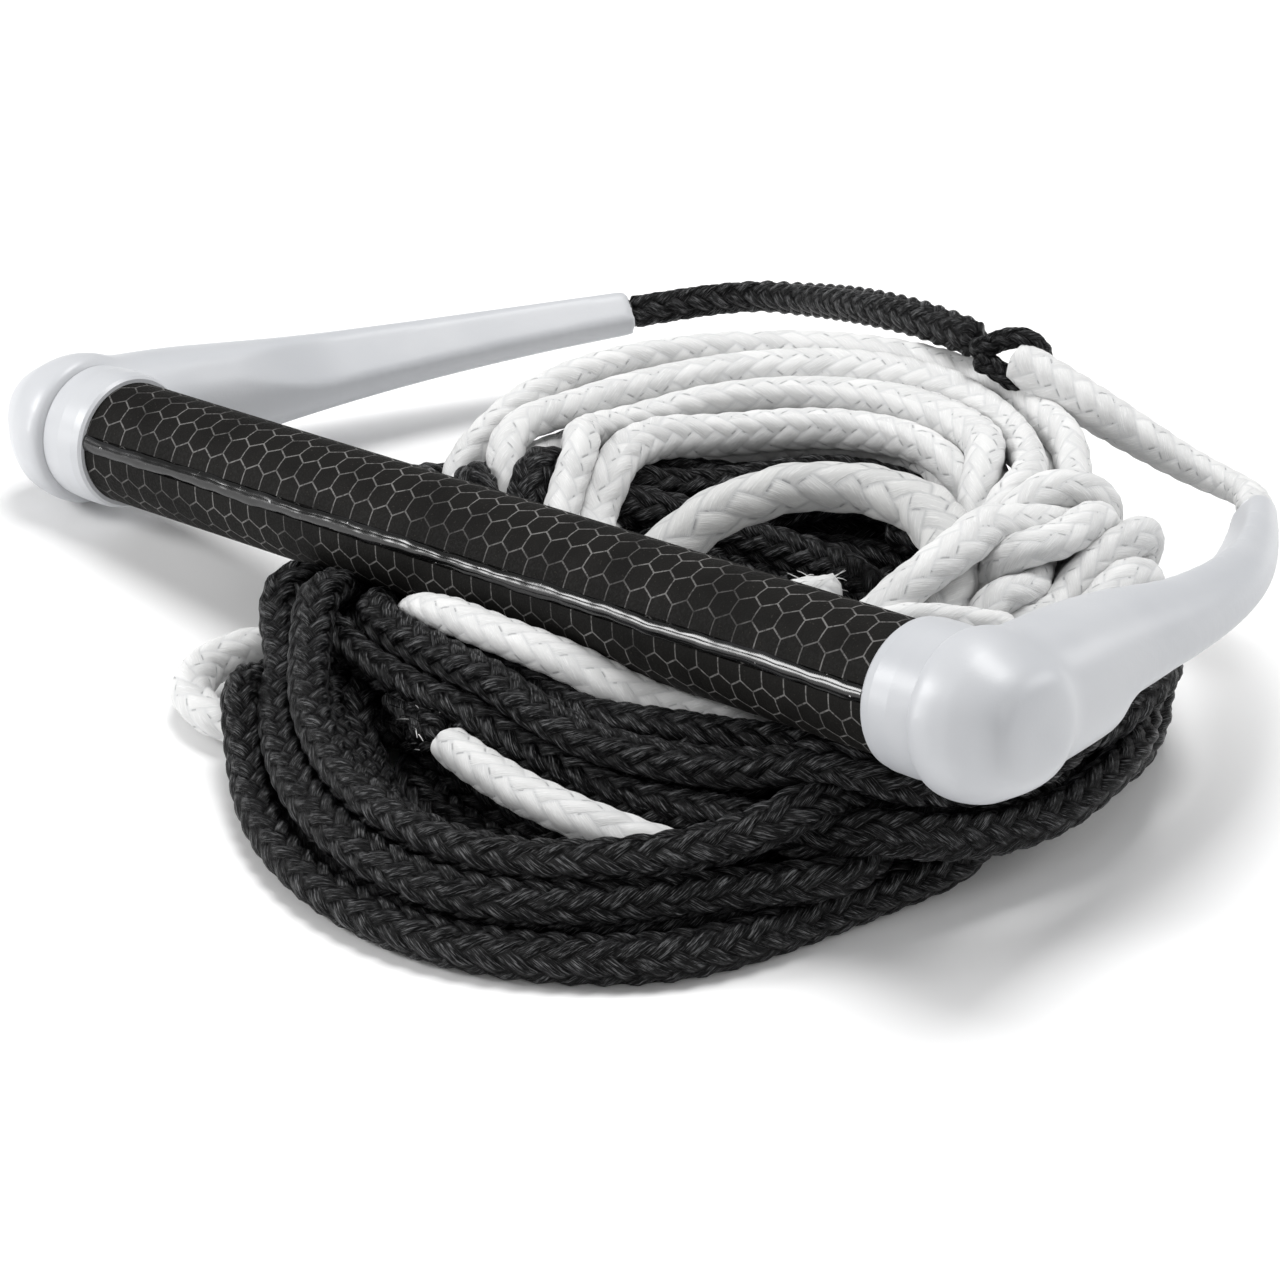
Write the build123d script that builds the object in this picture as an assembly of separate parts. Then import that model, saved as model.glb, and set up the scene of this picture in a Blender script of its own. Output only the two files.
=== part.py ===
"""Water-sports tow rope handle: a foam-sleeved aluminium bar, two moulded end caps
with curved arms, a rope bridle, and the tow line laid down in a loose coil.

Frame: millimetres, +Z up, +X along the bar from left cap to right cap (seen from
above), +Y towards the arms and the bridle. The handle lies across its own coil of
rope, so its right end is higher. The origin is the middle of the handle's box,
at floor level.
"""
import math
import os

from build123d import *

# ---------------------------------------------------------------- driving sizes
OVERALL_LENGTH = 330.0        # 13 inch class handle, over both end caps
GRIP_LENGTH = 258.0           # visible grip between the collars
GRIP_DIAMETER = 29.0
TUBE_DIAMETER = 22.2          # 7/8 inch aluminium tube
TUBE_WALL = 1.4
COLLAR_LENGTH = 14.0
COLLAR_OVERLAP = 6.0          # how far the sleeve runs inside each collar
BRIDLE_ROPE = 7.0             # rope diameter inside the arms
BRIDLE_LEG = 8.0              # black leg once it is free of its arm
WHITE_LEG = 7.5               # white leg once it is free of its arm
TOW_ROPE = 9.0                # tow line diameter in the coil
SPLICED_ROPE = 12.5           # where the tow line is spliced into itself
SPLICE_DIAMETER = 10.0        # where two sections of the tow line join
WHIPPED_DIAMETER = 11.0       # over the twine round the tow line's end

# Pose of the handle where it lies on its rope
BAR_MIDDLE = (0.0, -61.33, 37.34)
BAR_TILT = 7.4                # right end up, degrees
ARM_DROP = 3.0                # arms down, degrees

GRIP_RADIUS = GRIP_DIAMETER / 2
TUBE_RADIUS = TUBE_DIAMETER / 2
BORE_RADIUS = TUBE_RADIUS - TUBE_WALL
GRIP_END = GRIP_LENGTH / 2
COLLAR_END = GRIP_END + COLLAR_LENGTH
CAP_END = OVERALL_LENGTH / 2
TUBE_END = 146.0
PLUG_FLANGE = 1.5
CHANNEL_RADIUS = BRIDLE_ROPE / 2 + 0.1

# Knot pocket in each cap, across the bar
POCKET_X = 155.7
POCKET_RADIUS = 6.3
POCKET_FRONT, POCKET_BACK = -8.0, 6.0
WASHER_THICK = 1.0

# Seam bead: angle above straight forward, width, and how far it sinks and stands
SEAM_ANGLE = 14.5
SEAM_WIDTH = 3.9
SEAM_FLOOR = GRIP_RADIUS - 0.8
SEAM_TOP = GRIP_RADIUS + 0.45

# Arm centre lines in the handle's own frame: x, y, z, half width, half height.
# The right arm is bent in further by the pull of its rope than the left.
LEFT_ARM = [
    (-148.0, 4.0, 0.0, 15.0, 15.5), (-146.5, 18.0, 0.4, 15.5, 14.4),
    (-141.5, 37.0, 0.8, 13.0, 11.8), (-135.0, 57.0, 1.2, 10.8, 9.4),
    (-127.0, 82.0, 1.8, 8.8, 7.6), (-117.5, 107.0, 2.4, 7.0, 6.4),
    (-109.0, 128.0, 2.8, 5.8, 5.7), (-104.0, 139.0, 3.0, 5.4, 5.5),
]
RIGHT_ARM = [
    (149.0, 4.0, 0.0, 14.0, 15.8), (147.5, 18.0, 0.2, 14.5, 15.4),
    (145.0, 37.0, 0.0, 12.8, 13.8), (143.0, 57.0, -0.8, 11.6, 11.4),
    (139.0, 78.0, -1.4, 10.0, 9.0), (131.0, 99.0, -1.9, 8.0, 7.2),
    (118.0, 118.5, -2.3, 6.0, 5.8), (107.0, 132.0, -2.5, 5.0, 5.0),
]

# Rope routes in the part's frame. Each bridle leg starts straight out of its arm.
MOUTH_LEAD = 10.5
LEFT_LEG_ROUTE = [
    (-90.8, 95.8, 21.6),
    (-79.2, 101.0, 24.8),
    (-65.0, 99.6, 29.0),
    (-50.0, 94.5, 34.8),
    (-33.0, 87.5, 41.5),
    (-15.0, 80.8, 47.7),
    (3.5, 75.3, 52.7),
    (21.0, 72.3, 54.7),
]
RIGHT_LEG_ROUTE = [
    (90.3, 83.4, 37.8),
    (78.2, 82.2, 39.0),
    (66.0, 78.4, 43.6),
    (52.5, 74.2, 49.0),
    (41.5, 72.0, 52.4),
    (33.5, 71.0, 54.0),
]
# Free pieces of the tow line, each seated in the coil that it lies on
SPLICED_TURN_ROUTE = [
    (14.0, -58.0, 14.0), (17.0, -45.0, 22.0), (20.0, -31.0, 33.0), (23.0, -15.0, 41.0),
    (30.0, 2.0, 44.0), (43.0, 13.0, 44.5), (59.0, 15.0, 44.5), (75.0, 7.0, 44.0),
    (86.0, -7.0, 42.0), (92.0, -20.0, 37.0), (95.0, -32.0, 29.5), (96.5, -42.5, 21.0),
]
FRONT_SECTION_ROUTE = [
    (30.0, -101.5, 18.0), (44.0, -104.5, 19.0), (59.0, -106.0, 19.5), (75.0, -104.0, 19.0),
    (90.0, -98.0, 16.5), (103.0, -88.0, 13.0), (113.0, -75.0, 10.0),
]
SECTION_SPLICE_ROUTE = [(6.0, -94.0, 17.0), (17.0, -98.0, 17.5), (29.0, -101.2, 18.0)]
BOAT_LOOP_ROUTE = [
    (-29.0, -78.0, 9.0), (-40.0, -84.0, 8.0), (-48.5, -93.0, 7.0), (-50.0, -104.0, 6.0),
    (-43.5, -113.5, 5.5), (-32.5, -117.0, 5.5), (-21.0, -114.0, 5.5),
]
WHIPPED_END_ROUTE = [(34.0, -28.0, 25.0), (42.0, -16.0, 26.5), (54.0, -6.0, 28.5)]
END_WHIPPING = (0.35, 0.6)    # where the black wrapping sits, as parts of that route

# The bridle's eye: its middle, ring radius, strand and the way the ring faces
EYE_MIDDLE = (31.0, 71.2, 54.2)
EYE_RING = 7.2
EYE_STRAND = 4.5
EYE_YAW = 14.0

# Outer shape of the coils: height, x from and to, y from and to
COIL_SPLIT = 21.5             # height where the white turns lie on the black ones
LAYER_GAP = 0.3
BLACK_OUTLINE = [
    (0.0, -60.0, 130.0, -153.0, 74.0),
    (4.5, -63.0, 134.0, -157.0, 77.0),
    (9.0, -62.0, 138.0, -152.0, 78.0),
    (13.5, -60.0, 143.0, -133.0, 78.0),
    (18.0, -57.0, 147.0, -112.0, 77.0),
    (COIL_SPLIT, -54.0, 144.0, -90.0, 75.0),
]
WHITE_OUTLINE = [
    (COIL_SPLIT + LAYER_GAP, -56.0, 108.0, -80.0, 76.0),
    (30.0, -60.0, 112.0, -78.0, 78.0),
    (40.0, -59.0, 108.0, -76.0, 76.0),
    (46.0, -54.0, 100.0, -70.0, 71.0),
    (50.0, -44.0, 90.0, -60.0, 62.0),
]
HANK_OUTLINE = [
    (30.0, 66.0, 108.0, -20.0, 62.0),
    (36.0, 63.0, 113.0, -23.0, 66.0),
    (46.0, 64.0, 112.0, -22.0, 65.0),
    (52.0, 70.0, 104.0, -15.0, 58.0),
]
COIL_HOLE = (55.0, -14.0, 27.0, 22.0)     # middle x, y and half sizes
BEHIND_BAR = -43.0            # the white coil lies behind this y

HANDLE = Location(BAR_MIDDLE) * Rotation(0, -BAR_TILT, 0) * Rotation(-ARM_DROP, 0, 0)


# ---------------------------------------------------------------- small helpers
def disc_along_x(radius, start, end):
    """A cylinder about the bar's axis from x = start to x = end."""
    low, high = min(start, end), max(start, end)
    return Pos(low, 0, 0) * Rotation(0, 90, 0) * Cylinder(
        radius, high - low, align=(Align.CENTER, Align.CENTER, Align.MIN))


def ring_along_x(outer, inner, start, end):
    return disc_along_x(outer, start, end) - disc_along_x(inner, start, end)


def turned_about_bar(points):
    """Turn a closed profile of (x, radius) points about the bar's axis."""
    profile = make_face(Polyline(*[(x, r, 0) for x, r in points], close=True))
    return revolve(profile, axis=Axis.X)


def arm_planes(arm):
    """One plane across the arm at each station, square to the way it runs."""
    planes = []
    for index, station in enumerate(arm):
        before = Vector(*arm[max(index - 1, 0)][:3])
        after = Vector(*arm[min(index + 1, len(arm) - 1)][:3])
        along = (after - before).normalized()
        across = along.cross(Vector(0, 0, 1)).normalized()
        planes.append(Plane(Vector(*station[:3]), x_dir=across, z_dir=along))
    return planes


def arm_solid(arm):
    sections = [
        plane * Ellipse(station[3], station[4])
        for plane, station in zip(arm_planes(arm), arm)
    ]
    return loft(sections)


def channel_points(arm, side):
    """The rope's way through the arm, from the knot pocket to the arm's mouth."""
    first = Vector(side * POCKET_X, POCKET_BACK, 0)
    return [first] + [Vector(*station[:3]) for station in arm[2:]]


def round_along(points, radius):
    """A round bar through the points, its end faces square to its ends."""
    path = Spline(*points, tangents=[(0, 1, 0), mouth_direction(points)])
    return sweep(Plane(path @ 0, z_dir=path % 0) * Circle(radius), path)


def mouth_direction(points):
    return tuple((points[-1] - points[-2]).normalized())


def corner_radii(points):
    """For each corner 0.45 of its shorter run, over the tangent of half its turn."""
    radii = []
    for before, corner, after in zip(points, points[1:], points[2:]):
        run_in, run_out = corner - before, after - corner
        half_turn = math.radians(run_in.get_angle(run_out)) / 2
        radii.append(0.45 * min(run_in.length, run_out.length) / math.tan(half_turn))
    return radii


def rope_tube(name, points, diameter):
    """A rope's free stretch: straight runs joined by tangent arcs."""
    corners = [Vector(*point) for point in points]
    radii = corner_radii(corners)
    path = FilletPolyline(*corners, radius=radii)
    tube = sweep(Plane(path @ 0, z_dir=path % 0) * Circle(diameter / 2), path)
    ideal = math.pi * diameter**2 / 4 * path.length
    print(f"{name}: length {path.length:.1f} mm, radii",
          [round(r, 1) for r in radii], f"volume ratio {tube.volume / ideal:.4f}")
    return tube


def in_part_frame(point):
    """A point of the handle's own frame, in the part's frame."""
    return (HANDLE * Pos(*point)).position


def mouth_and_lead(arm, lead):
    """The centre of an arm's mouth, and a point straight out of it."""
    last, before = Vector(*arm[-1][:3]), Vector(*arm[-2][:3])
    ahead = last + (last - before).normalized() * lead
    return [in_part_frame(last), in_part_frame(ahead)]


# ---------------------------------------------------------------- handle pieces
def bar_tube():
    return ring_along_x(TUBE_RADIUS, BORE_RADIUS, -TUBE_END, TUBE_END)


def float_core():
    """Closed-cell foam rod that keeps the handle afloat if the tube leaks."""
    return disc_along_x(BORE_RADIUS - 0.1, -TUBE_END + 13, TUBE_END - 13)


def tube_plug(side):
    """Stopper in the tube's end, with a flange over its edge."""
    shank = disc_along_x(BORE_RADIUS, side * (TUBE_END - 12), side * TUBE_END)
    flange = disc_along_x(TUBE_RADIUS, side * TUBE_END, side * (TUBE_END + PLUG_FLANGE))
    return shank + flange


def seam_strip(inner, outer, half_length):
    """The part of a ring about the bar that lies in the seam's width."""
    ring = ring_along_x(outer, inner, -half_length, half_length)
    slab = Pos(0, -GRIP_RADIUS, 0) * Box(2 * half_length, GRIP_RADIUS, SEAM_WIDTH)
    return ring & (Rotation(-SEAM_ANGLE, 0, 0) * slab)


def grip_sleeve():
    half = GRIP_END + COLLAR_OVERLAP
    sleeve = ring_along_x(GRIP_RADIUS, TUBE_RADIUS, -half, half)
    return sleeve - seam_strip(SEAM_FLOOR, SEAM_TOP + 1, GRIP_END)


def grip_seam_bead():
    return seam_strip(SEAM_FLOOR, SEAM_TOP, GRIP_END)


def collar(side):
    """Moulded ring that hides the sleeve's end, with a rolled lip."""
    lip, end, step = GRIP_END, COLLAR_END, GRIP_END + COLLAR_OVERLAP
    outline = [
        (lip, GRIP_RADIUS), (lip, 15.4), (lip + 0.8, 16.0), (lip + 3.0, 16.4),
        (lip + 8.0, 16.5), (end, 16.1), (end, TUBE_RADIUS),
        (step, TUBE_RADIUS), (step, GRIP_RADIUS),
    ]
    return turned_about_bar([(side * x, r) for x, r in outline])


def end_cap(side, arm):
    """Cap body and arm in one moulding, bored for the tube, the rope and its knot."""
    start = COLLAR_END
    outline = [
        (start, 0.0), (start, 16.9), (start + 0.8, 17.6), (start + 4.0, 18.3),
        (start + 9.0, 18.2), (start + 14.0, 17.1), (start + 18.0, 14.6),
        (start + 20.6, 10.8), (CAP_END, 6.0), (CAP_END, 0.0),
    ]
    cap = turned_about_bar([(side * x, r) for x, r in outline]) + arm_solid(arm)
    cap -= disc_along_x(TUBE_RADIUS, side * (start - 30), side * (TUBE_END + PLUG_FLANGE))
    cap -= disc_along_x(GRIP_RADIUS + 6, side * (start - 30), side * start)
    pocket = knot_space(side, POCKET_RADIUS, POCKET_FRONT, POCKET_BACK)
    access = Pos(side * POCKET_X, 0, -15) * Box(2 * POCKET_RADIUS, 9.0, 30)
    channel = round_along(channel_points(arm, side), CHANNEL_RADIUS)
    return cap - pocket - access - channel


def knot_space(side, radius, front, back):
    """A cylinder across the bar at the knot pocket, from y = front to y = back."""
    return Pos(side * POCKET_X, front, 0) * Rotation(-90, 0, 0) * Cylinder(
        radius, back - front, align=(Align.CENTER, Align.CENTER, Align.MIN))


def stopper_washer(side):
    disc = knot_space(side, POCKET_RADIUS - 0.2, POCKET_BACK - WASHER_THICK, POCKET_BACK)
    hole = knot_space(side, BRIDLE_ROPE / 2, POCKET_FRONT, POCKET_BACK)
    return disc - hole


def stopper_knot(side):
    """Barrel knot on the rope's end: three wraps pulled up tight."""
    seat = POCKET_BACK - WASHER_THICK
    knot = knot_space(side, 4.0, seat - 11.0, seat)
    for wrap in range(3):
        middle = seat - 2.6 - 2.9 * wrap
        knot += Pos(side * POCKET_X, middle, 0) * Rotation(90, 0, 0) * Torus(3.5, 2.5)
    return knot & knot_space(side, POCKET_RADIUS, seat - 11.0, seat)


def inner_rope(side, arm):
    """The bridle rope from its knot, through the washer and the arm, to the mouth."""
    tail = knot_space(side, BRIDLE_ROPE / 2, POCKET_BACK - WASHER_THICK, POCKET_BACK)
    return tail + round_along(channel_points(arm, side), BRIDLE_ROPE / 2)


# ---------------------------------------------------------------- rope pieces
def heap(outline, spare=0.0):
    """A heap of rope: ellipses at rising heights, joined by straight sides."""
    sections = []
    for z, x_low, x_high, y_low, y_high in outline:
        middle = ((x_low + x_high) / 2, (y_low + y_high) / 2, z)
        reach = ((x_high - x_low) / 2 + spare, (y_high - y_low) / 2 + spare)
        sections.append(Pos(*middle) * Ellipse(*reach))
    return loft(sections, ruled=True)


def coil_hole():
    x, y, half_x, half_y = COIL_HOLE
    return Pos(x, y, -5) * extrude(Ellipse(half_x, half_y), 80)


def room_for_bar():
    """The groove that the bar presses into the rope, open upwards."""
    bar = disc_along_x(GRIP_RADIUS + 1.0, -CAP_END, CAP_END)
    above = Pos(0, 0, 30) * Box(OVERALL_LENGTH, GRIP_DIAMETER + 2, 60)
    return HANDLE * (bar + above)


def seat(route, diameter):
    """The bed that a rope presses into the heap it lies on."""
    return rope_tube("seat", route, diameter + 2 * LAYER_GAP)


def largest(shape):
    return shape.solids().sort_by(SortBy.VOLUME)[-1]


def black_rope_coil():
    """Lower turns: a wide ring on the floor, low in front and steep behind."""
    heap_solid = heap(BLACK_OUTLINE) - coil_hole() - room_for_bar()
    for route in (FRONT_SECTION_ROUTE, BOAT_LOOP_ROUTE):
        heap_solid -= seat(route, TOW_ROPE)
    heap_solid -= seat(SECTION_SPLICE_ROUTE, SPLICE_DIAMETER)
    heap_solid -= seat(SPLICED_TURN_ROUTE, SPLICED_ROPE)
    return largest(heap_solid - seat(WHIPPED_END_ROUTE, WHIPPED_DIAMETER))


def white_rope_coil():
    """Upper turns: a ring on the lower one, behind the bar."""
    behind = Pos(0, BEHIND_BAR + 200, 0) * Box(600, 400, 200)
    heap_solid = (heap(WHITE_OUTLINE) & behind) - coil_hole() - room_for_bar()
    heap_solid -= heap(HANK_OUTLINE, LAYER_GAP)
    heap_solid -= seat(SPLICED_TURN_ROUTE, SPLICED_ROPE)
    heap_solid -= seat(WHIPPED_END_ROUTE, WHIPPED_DIAMETER)
    clearance = EYE_RING + EYE_STRAND / 2 + LAYER_GAP
    return largest(heap_solid - Pos(*EYE_MIDDLE) * Sphere(clearance))


def white_bight_hank():
    """Four folded bights of the take-off section, lying on the white turns."""
    return largest(heap(HANK_OUTLINE) - seat(SPLICED_TURN_ROUTE, SPLICED_ROPE))


def bridle_eye():
    """The black leg's braid, opened into a ring round the white leg."""
    ring = Torus(EYE_RING, EYE_STRAND / 2)
    return Pos(*EYE_MIDDLE) * Rotation(0, 0, EYE_YAW) * Rotation(0, 90, 0) * ring


def end_whipping():
    """Twine wrapped round the tow line's end to keep its braid shut."""
    path = Polyline(*WHIPPED_END_ROUTE)
    start, end = (path @ part for part in END_WHIPPING)
    axis = Plane(start, z_dir=end - start)
    length = (end - start).length
    sides = (Align.CENTER, Align.CENTER, Align.MIN)
    return axis * Cylinder(WHIPPED_DIAMETER / 2, length, align=sides)


def build():
    """Every node of the part, by name."""
    handle = {
        "bar_tube": bar_tube(),
        "float_core": float_core(),
        "grip_sleeve": grip_sleeve(),
        "grip_seam_bead": grip_seam_bead(),
    }
    for name, side, arm in (("left", -1, LEFT_ARM), ("right", 1, RIGHT_ARM)):
        handle[f"{name}_tube_plug"] = tube_plug(side)
        handle[f"{name}_collar"] = collar(side)
        handle[f"{name}_end_cap"] = end_cap(side, arm)
        handle[f"{name}_stopper_washer"] = stopper_washer(side)
        handle[f"{name}_stopper_knot"] = stopper_knot(side)
        handle[f"{name}_inner_rope"] = inner_rope(side, arm)
    nodes = {name: HANDLE * solid for name, solid in handle.items()}
    print("handle box", Compound(list(nodes.values())).bounding_box())

    left_route = mouth_and_lead(LEFT_ARM, MOUTH_LEAD) + LEFT_LEG_ROUTE
    right_route = mouth_and_lead(RIGHT_ARM, MOUTH_LEAD) + RIGHT_LEG_ROUTE
    nodes["left_bridle_leg"] = rope_tube("left_bridle_leg", left_route, BRIDLE_LEG)
    nodes["right_bridle_leg"] = rope_tube("right_bridle_leg", right_route, WHITE_LEG)
    nodes["bridle_eye"] = bridle_eye()
    nodes["spliced_turn"] = rope_tube("spliced_turn", SPLICED_TURN_ROUTE, SPLICED_ROPE)
    nodes["front_section"] = rope_tube("front_section", FRONT_SECTION_ROUTE, TOW_ROPE)
    nodes["section_splice"] = rope_tube(
        "section_splice", SECTION_SPLICE_ROUTE, SPLICE_DIAMETER)
    nodes["boat_end_loop"] = rope_tube("boat_end_loop", BOAT_LOOP_ROUTE, TOW_ROPE)
    nodes["whipped_rope_end"] = rope_tube("whipped_rope_end", WHIPPED_END_ROUTE, TOW_ROPE)
    nodes["end_whipping"] = end_whipping() - nodes["whipped_rope_end"]
    nodes["black_rope_coil"] = black_rope_coil()
    nodes["white_rope_coil"] = white_rope_coil()
    nodes["white_bight_hank"] = white_bight_hank()
    return nodes


os.makedirs("parts", exist_ok=True)
for name, solid in build().items():
    export_step(solid, f"parts/{name}.step")
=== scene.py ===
"""Looks of the tow rope handle: braided ropes, printed foam grip, moulded caps and arms.

Places and sizes are millimetres in the part's frame, and become metres when a mesh is made.
Materials and lamps are in metres throughout.
"""
import math

import bpy
import numpy as np
from mathutils import Matrix, Vector


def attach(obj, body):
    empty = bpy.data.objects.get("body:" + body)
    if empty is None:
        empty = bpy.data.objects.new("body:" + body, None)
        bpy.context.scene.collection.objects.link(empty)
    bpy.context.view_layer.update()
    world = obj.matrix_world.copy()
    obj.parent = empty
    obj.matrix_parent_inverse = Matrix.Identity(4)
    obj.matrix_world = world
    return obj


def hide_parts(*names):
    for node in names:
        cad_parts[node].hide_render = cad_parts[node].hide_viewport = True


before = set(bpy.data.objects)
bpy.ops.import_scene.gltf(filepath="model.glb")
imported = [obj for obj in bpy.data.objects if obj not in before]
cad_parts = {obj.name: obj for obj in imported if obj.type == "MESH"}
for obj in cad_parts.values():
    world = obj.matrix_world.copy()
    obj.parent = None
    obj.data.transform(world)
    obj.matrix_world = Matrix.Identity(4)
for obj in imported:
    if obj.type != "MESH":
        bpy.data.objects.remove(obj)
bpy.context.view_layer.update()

MM = 0.001

# -------- the handle's place
BAR_MIDDLE = (0.0, -61.33, 37.34)
BAR_TILT, ARM_DROP = 7.4, 3.0
GRIP_RADIUS = 14.5
GRIP_END = 129.0  # from the bar's middle
COLLAR_RADIUS, COLLAR_END = 16.8, 143.0
CAP_RADIUS, CAP_FROM, CAP_TO = 18.3, 146.0, 150.0
HANDLE = (Matrix.Translation(BAR_MIDDLE)
          @ Matrix.Rotation(math.radians(-BAR_TILT), 4, "Y")
          @ Matrix.Rotation(math.radians(-ARM_DROP), 4, "X"))

# Arm centre lines in the handle's frame: x, y, z, half width, half height
LEFT_ARM = [
    (-148.0, 4.0, 0.0, 15.0, 15.5), (-146.5, 18.0, 0.4, 15.5, 14.4),
    (-141.5, 37.0, 0.8, 13.0, 11.8), (-135.0, 57.0, 1.2, 10.8, 9.4),
    (-127.0, 82.0, 1.8, 8.8, 7.6), (-117.5, 107.0, 2.4, 7.0, 6.4),
    (-109.0, 128.0, 2.8, 5.8, 5.7), (-104.0, 139.0, 3.0, 5.4, 5.5),
]
RIGHT_ARM = [
    (149.0, 4.0, 0.0, 14.0, 15.8), (147.5, 18.0, 0.2, 14.5, 15.4),
    (145.0, 37.0, 0.0, 12.8, 13.8), (143.0, 57.0, -0.8, 11.6, 11.4),
    (139.0, 78.0, -1.4, 10.0, 9.0), (131.0, 99.0, -1.9, 8.0, 7.2),
    (118.0, 118.5, -2.3, 6.0, 5.8), (107.0, 132.0, -2.5, 5.0, 5.0),
]

# -------- camera
CAMERA_AT = (734.3, -714.2, 538.8)
CAMERA_AZIMUTH, CAMERA_ELEVATION = 46.45, 28.0
SENSOR_WIDTH, LENS = 36.0, 140.625
VIEW_END = 20.0  # metres


def make_camera():
    data = bpy.data.cameras.new("camera")
    data.sensor_width = SENSOR_WIDTH
    data.lens = LENS
    data.clip_end = VIEW_END
    camera = bpy.data.objects.new("camera", data)
    camera.location = Vector(CAMERA_AT) * MM
    camera.rotation_euler = (
        math.radians(90 - CAMERA_ELEVATION), 0, math.radians(CAMERA_AZIMUTH))
    bpy.context.collection.objects.link(camera)
    bpy.context.scene.camera = camera


make_camera()

# -------- rope routes
BRIDLE_LEG, WHITE_LEG, TOW_ROPE, SPLICED_ROPE = 8.0, 7.5, 9.0, 12.5
MOUTH_LEAD = 10.5  # how far a leg runs straight out of its arm's mouth
LEFT_LEG_ROUTE = [
    (-90.8, 95.8, 21.6), (-79.2, 101.0, 24.8), (-65.0, 99.6, 29.0), (-50.0, 94.5, 34.8),
    (-33.0, 87.5, 41.5), (-15.0, 80.8, 47.7), (3.5, 75.3, 52.7), (21.0, 72.3, 54.7),
]
RIGHT_LEG_ROUTE = [
    (90.3, 83.4, 37.8), (78.2, 82.2, 39.0), (66.0, 78.4, 43.6), (52.5, 74.2, 49.0),
    (41.5, 72.0, 52.4), (33.5, 71.0, 54.0),
]
SPLICED_TURN_ROUTE = [
    (14.0, -58.0, 14.0), (17.0, -45.0, 22.0), (20.0, -31.0, 33.0), (23.0, -15.0, 41.0),
    (30.0, 2.0, 44.0), (43.0, 13.0, 44.5), (59.0, 15.0, 44.5), (75.0, 7.0, 44.0),
    (86.0, -7.0, 42.0), (92.0, -20.0, 37.0), (95.0, -32.0, 29.5), (96.5, -42.5, 21.0),
]
FRONT_SECTION_ROUTE = [
    (30.0, -101.5, 18.0), (44.0, -104.5, 19.0), (59.0, -106.0, 19.5), (75.0, -104.0, 19.0),
    (90.0, -98.0, 16.5), (103.0, -88.0, 13.0), (113.0, -75.0, 10.0),
]
SECTION_SPLICE_ROUTE = [(6.0, -94.0, 17.0), (17.0, -98.0, 17.5), (29.0, -101.2, 18.0)]
BOAT_LOOP_ROUTE = [
    (-29.0, -78.0, 9.0), (-40.0, -84.0, 8.0), (-48.5, -93.0, 7.0), (-50.0, -104.0, 6.0),
    (-43.5, -113.5, 5.5), (-32.5, -117.0, 5.5), (-21.0, -114.0, 5.5),
]
WHIPPED_END_ROUTE = [(34.0, -28.0, 25.0), (42.0, -16.0, 26.5), (54.0, -6.0, 28.5)]


def in_part_frame(point):
    return tuple(HANDLE @ Vector(point))


def mouth_and_lead(arm):
    """The centre of an arm's mouth, and a point straight out of it."""
    last, before = Vector(arm[-1][:3]), Vector(arm[-2][:3])
    ahead = last + (last - before).normalized() * MOUTH_LEAD
    return [in_part_frame(last), in_part_frame(ahead)]


# -------- coils by loops
POINTS_PER_SIDE = 7
WANDER, WANDER_PACES = 2.0, (1.37, 2.31, 3.73)
DENT_ANGLE = 32.0  # how far a dent spreads to each side, in degrees
BAR_CLEARANCE = 2.0
BAR_REACH = 140.0  # how far from its middle the bar keeps the turns down


def coil_route(middle, seed, backs, lefts, fronts, rights, last=(), skip=0, dents=()):
    """One rope through turns, given as reach and height at the back, left, front and right.

    From one side to the next the values change smoothly, and a slow seeded wander keeps
    the turns from being alike. last has the sides after the last whole turn, and skip leaves
    out that many from the start. dents are pairs of an angle in degrees and a depth, as a
    share of the reach: there the turns are pressed in.
    """
    rng = np.random.default_rng(seed)
    sides = [side for turn in zip(backs, lefts, fronts, rights) for side in turn]
    sides = np.array([*sides, *last], float)[skip:]
    count = len(sides)
    along = np.linspace(0, count - 1, POINTS_PER_SIDE * count)
    low = np.clip(along.astype(int), 0, count - 2)
    part = along - low
    ease = (part * part * (3 - 2 * part))[:, None]
    reach_z = sides[low] * (1 - ease) + sides[low + 1] * ease
    angle = (along + 1 + skip) * math.pi / 2
    phase = rng.uniform(0, 2 * math.pi, 3)
    ripple = sum(np.sin(angle * pace + p) for pace, p in zip(WANDER_PACES, phase))
    reach = reach_z[:, 0] + WANDER * ripple / 1.7
    for direction, depth in dents:
        off = (np.degrees(angle) - direction + 180) % 360 - 180
        reach = reach * (1 - depth * np.exp(-(off / DENT_ANGLE) ** 2))
    x = middle[0] + reach * np.cos(angle)
    y = middle[1] + reach * np.sin(angle)
    return under_bar(np.stack([x, y, reach_z[:, 1]], axis=1))


def under_bar(points):
    """Lowers a route where it would meet the bar, so that it passes beneath."""
    from_axis = np.abs(points[:, 1] - BAR_MIDDLE[1])
    beside = np.maximum(from_axis - GRIP_RADIUS - BAR_CLEARANCE, 0)
    rise = math.tan(math.radians(BAR_TILT))
    underside = BAR_MIDDLE[2] + points[:, 0] * rise - GRIP_RADIUS - TOW_ROPE / 2
    ceiling = np.where(np.abs(points[:, 0]) < BAR_REACH, underside + 0.9 * beside, np.inf)
    low = np.minimum(points[:, 2], ceiling)
    return np.column_stack([points[:, :2], np.maximum(low, TOW_ROPE / 2)])


def distances(points):
    """How far along a line each of its points lies."""
    runs = np.linalg.norm(np.diff(points, axis=0), axis=1)
    return np.concatenate([[0], np.cumsum(runs)])


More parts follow.
